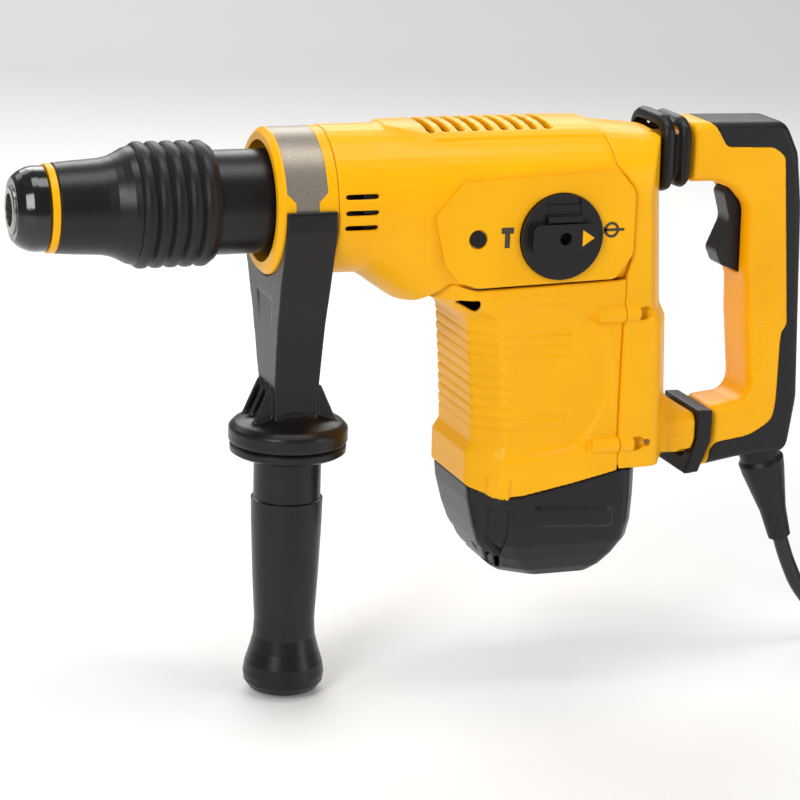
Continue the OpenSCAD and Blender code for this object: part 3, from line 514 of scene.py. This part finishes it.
@dataclass
class Studio:
    """Camera, lights and floor."""

    azimuth: float = -19.74
    elevation: float = 15.255
    roll: float = 1.867
    distance: float = 1.6
    target: tuple[float, float, float] = (0.22356, 0.0, -0.11796)
    lens_mm: float = 127.09
    floor_z: float = -0.2856

    def camera(self) -> None:
        """Makes the camera."""
        a, e, r = (math.radians(v) for v in (self.azimuth, self.elevation, self.roll))
        back = Vector((math.sin(a) * math.cos(e), -math.cos(a) * math.cos(e), math.sin(e)))
        level = Vector((math.cos(a), math.sin(a), 0))
        up = back.cross(level)
        right = level * math.cos(r) + up * math.sin(r)
        top = up * math.cos(r) - level * math.sin(r)
        data = bpy.data.cameras.new("camera")
        data.lens, data.sensor_width = self.lens_mm, 36.0
        data.clip_start, data.clip_end = 0.05, 60.0
        camera = bpy.data.objects.new("camera", data)
        place = Matrix((right, top, back)).transposed().to_4x4()
        place.translation = Vector(self.target) + back * self.distance
        camera.matrix_world = place
        bpy.context.scene.collection.objects.link(camera)
        bpy.context.scene.camera = camera

    def lamp(self, name: str, place: tuple, aim: tuple, size: tuple[float, float], watts: float) -> None:
        """Makes one soft box.

        Args:
            name: Name of the lamp.
            place: Where it hangs, in metres.
            aim: Point that it faces, in metres.
            size: Width and height in metres.
            watts: Power.
        """
        data = bpy.data.lights.new(name, "AREA")
        data.shape, data.size, data.size_y, data.energy = "RECTANGLE", size[0], size[1], watts
        lamp = bpy.data.objects.new(name, data)
        lamp.location = place
        lamp.rotation_euler = (Vector(aim) - Vector(place)).to_track_quat("-Z", "Y").to_euler()
        bpy.context.scene.collection.objects.link(lamp)

    def build(self) -> None:
        """Makes the lights, the sky and the floor."""
        centre = (0.22, 0.0, -0.1)
        self.lamp("overhead", (0.2, -0.1, 1.5), centre, (1.5, 0.7), 15)
        self.lamp("key", (-1.1, -1.3, 0.9), centre, (0.6, 1.2), 21)
        self.lamp("fill", (1.5, -1.2, 0.3), centre, (0.5, 1.4), 7)
        self.lamp("back", (0.6, 1.5, 0.9), centre, (1.6, 0.8), 12)
        self.lamp("backdrop", (-0.4, 3.6, 2.4), (-0.4, 3.6, -0.3), (5.0, 3.0), 70)
        world = bpy.data.worlds.new("white_room")
        world.use_nodes = True
        world.node_tree.nodes["Background"].inputs["Color"].default_value = (1, 1, 1, 1)
        world.node_tree.nodes["Background"].inputs["Strength"].default_value = 0.24
        bpy.context.scene.world = world
        bm = bmesh.new()
        bmesh.ops.create_grid(bm, x_segments=1, y_segments=1, size=15)
        bmesh.ops.translate(bm, verts=bm.verts, vec=(0, 0, self.floor_z - 0.0002))
        floor = object_from(bm, "floor", smooth=False)
        FLOOR.dress(floor)


# ---- cord ----


@dataclass
class Cord:
    """Rubber-sheathed flex: down from the handle, along the floor, coiled, and up to its plug."""

    radius: float = 4.5
    start: tuple = (
        (449, 0, -158), (456, 0, -178), (463, 0, -198), (470, 0, -218), (477, 0, -236),
        (487, 0, -254), (501, 0, -268), (519, -1, -277), (537, -5, -281), (554, -14, -281),
        (570, -26, -281), (586, -38.5, -281), (602, -48, -281), (618, -52.8, -281), (634, -54, -281),
        (650, -54, -281),
    )
    end: tuple = (
        (650, 64, -253.6), (637, 64, -253.9), (625, 64, -255.5), (613, 63, -259),
        (602, 61.5, -263), (592, 60, -266),
    )
    centre: tuple[float, float] = (650, 5)
    floor: float = -285.6
    mean: float = 50.0
    pitch: float = 9.05
    clear: float = 0.1
    layers: int = 4
    per_turn: int = 24

    def coil(self) -> list[tuple[float, float, float]]:
        """Winds four layers of three turns, each passing to the next in its last third.

        Returns:
            Points of the coil in mm.
        """
        slots = []
        for layer in range(self.layers):
            order = (1, 0, -1) if layer % 2 == 0 else (-1, 0, 1)
            height = self.floor + self.radius + self.clear + layer * self.pitch
            slots += [(self.mean + k * self.pitch, height) for k in order]
        made = []
        for i, (r, z) in enumerate(slots):
            after = slots[min(i + 1, len(slots) - 1)]
            last = i == len(slots) - 1
            for k in range(self.per_turn // 2 if last else self.per_turn):
                t = float(step(np.array(k / self.per_turn), 0.62, 1.0))
                angle = -math.pi / 2 + 2 * math.pi * k / self.per_turn
                ring = r + (after[0] - r) * t
                made.append((self.centre[0] + ring * math.cos(angle), self.centre[1] + ring * math.sin(angle),
                             z + (after[1] - z) * t))
        return made

    def build(self, frame: dict) -> None:
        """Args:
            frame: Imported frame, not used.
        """
        points = [*self.start[:-1], *self.coil(), *self.end]
        data = bpy.data.curves.new("flex", "CURVE")
        data.dimensions, data.bevel_depth, data.bevel_resolution = "3D", self.radius * MM, 3
        data.resolution_u, data.use_fill_caps = 4, True
        spline = data.splines.new("BEZIER")
        spline.bezier_points.add(len(points) - 1)
        for knot, p in zip(spline.bezier_points, points):
            knot.co = Vector(p) * MM
            knot.handle_left_type = knot.handle_right_type = "AUTO"
        flex = bpy.data.objects.new("flex", data)
        bpy.context.scene.collection.objects.link(flex)
        PVC.dress(flex)
        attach(flex, "handle")
        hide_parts("cord_tube", "cord_coil", "cord_tail")


# ---- front end, clamp and side handle ----


@dataclass
class CadFinish:
    """CAD parts that keep their own shape, and what they are made of."""

    finishes: dict = field(default_factory=lambda: {
        NITRILE: ("dust_cap",),
        NYLON: ("sleeve_ring", "clamp_ring", "dial_plate", "dial_pointer"),
        BLACK_NYLON: ("lock_sleeve", "barrel_tube", "side_grip", "mode_dial", "dial_button", "fan",
                      "switch_body"),
        ELASTOMER: ("sleeve_grip", "cord_guard"),
        PVC: ("plug_body",),
        PAINT: ("clamp_strap",),
        STEEL: ("tool_holder", "lock_ring", "lock_spring", "lock_rollers", "cylinder", "beat_piece", "ram",
                "piston", "front_bearing", "rear_bearing", "bevel_gear", "crank", "inter_gear",
                "upper_bearing", "lower_bearing", "pivot_pin", "damper_spring", "trigger_pin", "trigger_spring", "plug_pins",
                "clamp_bolt"),
        BLACK_OXIDE: ("plate_screw", "body_screws"),
        CASTING: ("gear_frame", "stator"),
        WINDING: ("rotor", "brushes"),
        BOARD: ("control_board",),
    })

    def build(self, frame: dict) -> None:
        """Dresses the parts.

        Args:
            frame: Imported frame.
        """
        for finish, names in self.finishes.items():
            for name in names:
                finish.dress(frame["nodes"][name])
                log.info("%s: %s", name, finish.name)


# ---- motor, gear and rear housings ----


@dataclass
class Body:
    """Moulded housings of the gears and the motor."""

    panel: tuple = ((243, -59.5, 2), (252, -52.5, 6), (311, -53.3, 14), (333.7, -74, 14), (336.3, -112, 14),
                    (319.6, -140.7, 12), (280, -147, 20), (230, -150, 0), (230, -66, 0))
    panel_depth: float = 2.4
    stud_height: float = 1.8
    channel_depth: float = 2.4
    bar_height: float = 1.2
    panel_fade: tuple[float, float] = (256.0, 292.0)
    stud: tuple = ((263, -155), (274.5, -155), (274.5, -171), (263, -171))
    channel: tuple = ((264.6, -172), (275.6, -172), (276.4, -205.5), (265.4, -205.5))
    bar: tuple = ((289.6, -172.4, 4), (338.6, -175.6, 4), (339.4, -187.6, 4), (290.2, -184.6, 4))

    def side(self, places: np.ndarray, normals: np.ndarray) -> np.ndarray:
        """Weighs the outer side faces.

        Args:
            places: Vertices in mm.
            normals: Their normals.

        Returns:
            A weight for each vertex.
        """
        outward = np.sign(places[:, 1]) * normals[:, 1]
        return step(outward, 0.25, 0.7)

    def motor(self, places: np.ndarray, normals: np.ndarray) -> np.ndarray:
        """Sinks the side panel with its wall and raises the stud on each front corner.

        Args:
            places: Vertices in mm.
            normals: Their normals.

        Returns:
            Distance outwards for each vertex in mm.
        """
        flat = places[:, [0, 2]]
        weight = self.side(places, normals) * (np.abs(places[:, 1]) > 41)
        inward = step(-np.sign(places[:, 1]) * normals[:, 1], 0.25, 0.7) * (np.abs(places[:, 1]) > 38)
        sunk = step(depth_in(flat, rounded(self.panel)), 0.0, 5.0) * (weight - inward)
        sunk *= step(places[:, 0], *self.panel_fade)
        stud = step(depth_in(flat, self.stud), -0.6, 1.6) * self.side(places, normals)
        return stud * self.stud_height - sunk * self.panel_depth

    def cap(self, places: np.ndarray, normals: np.ndarray) -> np.ndarray:
        """Cuts the channel below each stud and raises the bar of each side.

        Args:
            places: Vertices in mm.
            normals: Their normals.

        Returns:
            Distance outwards for each vertex in mm.
        """
        flat = places[:, [0, 2]]
        weight = self.side(places, normals)
        channel = step(depth_in(flat, self.channel), 0.0, 1.6) * weight
        bar = step(depth_in(flat, rounded(self.bar)), -0.3, 1.5) * weight
        cut = channel * (np.abs(places[:, 1]) > 30)
        return bar * self.bar_height - cut * self.channel_depth

    def build(self, frame: dict) -> None:
        """Builds the housings, the boots, the side handle's arm and the trigger.

        Args:
            frame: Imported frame.
        """
        for piece in (
            SoftCopy("gear_case", ("gear_housing",), "housing", Slot.YELLOW, NYLON, 0.8, 4),
            SoftCopy("motor_case", ("motor_housing",), "housing", Slot.YELLOW, NYLON, 0.75, 2, self.motor),
            SoftCopy("motor_cover", ("motor_cap",), "housing", Slot.BLACK, BLACK_NYLON, 0.9, 6, self.cap),
            SoftCopy("rear_case", ("rear_housing",), "housing", Slot.YELLOW, NYLON, 0.9, 6),
            SoftCopy("upper_bellows", ("upper_boot",), "housing", Slot.RUBBER, ELASTOMER, 0.7, 5),
            SoftCopy("lower_bellows", ("lower_boot",), "housing", Slot.RUBBER, ELASTOMER, 0.6, 8),
            SoftCopy("side_handle_arm", ("clamp_cradle",), "clamp", Slot.BLACK, BLACK_NYLON, 0.8, 4),
            SoftCopy("squeeze_trigger", ("trigger",), "trigger", Slot.BLACK, BLACK_NYLON, 0.5, 8),
        ):
            piece.build(frame)


@dataclass
class Marks:
    """Printed signs of the dial's two modes, and the moulded covers of the pivot pin."""

    hammer: tuple = ((265.4, -11.6, 3.6, 1.7), (265.4, -17.35, 1.5, 4.0))
    bit: tuple = ((328.6, -13.5, 6.2, 0.8), (323.4, -13.5, 1.0, 1.8))
    ring: tuple[float, float, float, float] = (327.2, -13.5, 3.7, 1.6)
    pin: tuple[float, float, float] = (386.0, -148.0, 5.2)
    cover_mm: float = 0.6
    cover_edge_mm: float = 0.25
    ink_mm: float = 0.1
    bar_mm: float = 0.14

    def bar(self, bm: bmesh.types.BMesh, sign: tuple, face: float) -> None:
        """Adds one upright bar of a sign.

        Args:
            bm: Mesh that gets it.
            sign: Centre x and z, half width and half height in mm.
            face: The plate's front in metres.
        """
        made = bmesh.ops.create_cube(bm, size=2.0)["verts"]
        bmesh.ops.scale(bm, verts=made, vec=(sign[2] * MM, self.bar_mm * MM, sign[3] * MM))
        bmesh.ops.translate(bm, verts=made, vec=(sign[0] * MM, face, sign[1] * MM))

    def loop(self, bm: bmesh.types.BMesh, face: float) -> None:
        """Adds the ring of the turning sign.

        Args:
            bm: Mesh that gets it.
            face: The plate's front in metres.
        """
        x, z, radius, width = self.ring
        start = Vector((x + radius, 0, z)) * MM + Vector((0, face, 0))
        size = Vector((width / 2, self.ink_mm, 0)) * MM
        signs = ((-1, -1), (1, -1), (1, 1), (-1, 1))
        verts = [bm.verts.new(start + Vector((i * size.x, j * size.y, 0))) for i, j in signs]
        ends = [bm.edges.new((a, b)) for a, b in zip(verts, verts[1:] + verts[:1])]
        bmesh.ops.spin(bm, geom=[*verts, *ends], cent=(x * MM, face, z * MM), axis=(0, 1, 0), dvec=(0, 0, 0),
                       angle=2 * math.pi, steps=28, use_merge=True)
        bmesh.ops.recalc_face_normals(bm, faces=bm.faces)

    def build(self, frame: dict) -> None:
        """Builds the signs and the covers.

        Args:
            frame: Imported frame.
        """
        plate = frame["nodes"]["dial_plate"].data
        face = min(v.co.y for v in plate.vertices)
        bm = bmesh.new()
        self.loop(bm, face)
        for sign in (*self.hammer, *self.bit):
            self.bar(bm, sign, face)
        marks = object_from(bm, "mode_marks", smooth=False)
        INK.dress(marks)
        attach(marks, "housing")
        log.info("mode_marks: %d faces", len(marks.data.polygons))
        ends = [v.co.y for v in frame["nodes"]["pivot_pin"].data.vertices]
        bm = bmesh.new()
        x, z, radius = self.pin
        for end, side in ((min(ends), -1), (max(ends), 1)):
            place = Matrix.Translation((x * MM, end + side * self.cover_mm * MM / 2, z * MM))
            turned = place @ Matrix.Rotation(math.pi / 2, 4, "X")
            made = bmesh.ops.create_cone(bm, cap_ends=True, segments=32, radius1=radius * MM,
                                         radius2=radius * MM, depth=self.cover_mm * MM, matrix=turned)
            rims = {e for v in made["verts"] for e in v.link_edges if len(e.link_faces) == 2
                    and e.calc_face_angle(0) > 1.0}
            bmesh.ops.bevel(bm, geom=list(rims), offset=self.cover_edge_mm * MM, segments=2, profile=0.5,
                            affect="EDGES", material=-1)
        covers = object_from(bm, "pin_covers", smooth=False)
        NYLON.dress(covers)
        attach(covers, "housing")
        log.info("pin_covers: %d faces", len(covers.data.polygons))


@dataclass
class RearHandle:
    """D handle: amber frame with a black pad moulded over its back."""

    pad: tuple = ((394, 60, 0), (394, 43, 1), (402, 37.5, 2), (406, 30.5, 2), (409.5, 25, 3), (439.5, 24, 3),
                  (447, 18.5, 3), (455, -81, 2), (451.5, -86, 2), (451.3, -126.6, 5), (449.6, -138.5, 5),
                  (436, -147, 6), (413.5, -150, 2), (410.2, -154, 2), (406.5, -180, 0), (480, -180, 0),
                  (480, 60, 0))
    ribs: tuple = ((421.9, -54), (430, -54), (434, -45), (443, -45), (445.5, -79), (441, -86),
                   (440.6, -111), (424, -111))
    rib_pitch: float = 3.1
    tuck_mm: float = 1.6
    seam_mm: float = 0.28
    cut_mm: float = 2.5
    nodes: tuple = ("handle_left", "handle_right", "handle_pad")

    def sculpt(self, places: np.ndarray, normals: np.ndarray) -> np.ndarray:
        """Cuts fine ribs for the palm on both sides of the grip.

        Args:
            places: Vertices in mm.
            normals: Their normals.

        Returns:
            Distance outwards for each vertex in mm.
        """
        zone = step(depth_in(places[:, [0, 2]], self.ribs), 0.0, 1.2)
        side = step(np.abs(normals[:, 1]), 0.5, 0.85)
        wave = 0.5 + 0.5 * np.cos(places[:, 2] * 2 * math.pi / self.rib_pitch)
        return -zone * side * (0.2 + 0.55 * wave)

    def part(self, whole: bmesh.types.BMesh, outline: list[Point], pad: bool, name: str) -> bpy.types.Object:
        """Keeps the pad's faces or the frame's, and turns their border in.

        Args:
            whole: Both pieces as one mesh, cut along the border.
            outline: The pad's border in mm.
            pad: Whether the pad is kept.
            name: Name of the piece.

        Returns:
            The piece.
        """
        bm = whole.copy()
        centres = np.array([f.calc_center_median()[:] for f in bm.faces])[:, [0, 2]] / MM
        keep = (depth_in(centres, outline) > 0) == pad
        drop = [f for f, k in zip(bm.faces, keep) if not k]
        bmesh.ops.delete(bm, geom=drop, context="FACES")
        bm.normal_update()
        border = [e for e in bm.edges if e.is_boundary]
        rim = {v for e in border for v in e.verts}
        inward = {v: v.normal.copy() for v in rim}
        made = bmesh.ops.extrude_edge_only(bm, edges=border)["geom"]
        fresh = [g for g in made if isinstance(g, bmesh.types.BMVert)]
        for v in fresh:
            near = min((e.other_vert(v) for e in v.link_edges if e.other_vert(v) in rim),
                       key=lambda w: (w.co - v.co).length, default=None)
            if near:
                v.co = near.co - inward[near] * self.tuck_mm * MM
        for v in rim:
            v.co -= inward[v] * self.seam_mm * MM
        return object_from(bm, name)

    def build(self, frame: dict) -> None:
        """Builds the frame and the pad from one rounded solid, split along the pad's border.

        Args:
            frame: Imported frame.
        """
        base = SoftCopy("handle_frame", self.nodes, "handle", Slot.YELLOW, NYLON, 1.0, 16, self.sculpt,
                        most_faces=400000)
        whole = base.mesh(frame)
        outline = rounded(self.pad)
        bm = bmesh.new()
        bm.from_mesh(whole.data)
        for a, b in zip(outline, outline[1:] + outline[:1]):
            start, along = Vector((a[0], 0, a[1])), Vector((b[0] - a[0], 0, b[1] - a[1]))
            if along.length < 0.01:
                continue
            reach = along.length
            line = along.normalized()

            def close(face: bmesh.types.BMFace) -> bool:
                """Tells whether a face lies by this stretch of the border.

                Args:
                    face: Face of the solid.

                Returns:
                    True if it does.
                """
                there = face.calc_center_median() / MM - start
                t = there.dot(line)
                across = abs(there.x * line.z - there.z * line.x)
                return -self.cut_mm < t < reach + self.cut_mm and across < self.cut_mm

            faces = [f for f in bm.faces if close(f)]
            if not faces:
                continue
            edges = list({e for f in faces for e in f.edges})
            verts = list({v for f in faces for v in f.verts})
            bmesh.ops.bisect_plane(bm, geom=[*faces, *edges, *verts], dist=1e-6, plane_co=start * MM,
                                   plane_no=(line.z, 0, -line.x))
        shell = self.part(bm, outline, False, "handle_frame")
        pad = self.part(bm, outline, True, "handle_grip")
        bm.free()
        bpy.data.objects.remove(whole)
        for piece, finish, slot, nodes in (
            (shell, NYLON, Slot.YELLOW, self.nodes[:2]), (pad, ELASTOMER, Slot.RUBBER, self.nodes[2:]),
        ):
            finish.dress(piece)
            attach(piece, "handle")
            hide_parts(*nodes)
            log.info("%s: %d faces", piece.name, len(piece.data.polygons))


def main() -> None:
    """Builds every sub-assembly in order."""
    logging.basicConfig(level=logging.INFO, format="%(name)s: %(message)s")
    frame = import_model()
    studio = Studio()
    studio.camera()
    Cord().build(frame)
    CadFinish().build(frame)
    Body().build(frame)
    Marks().build(frame)
    RearHandle().build(frame)
    studio.build()
    bpy.context.scene.view_settings.view_transform = "Standard"


if __name__ == "__main__":
    main()
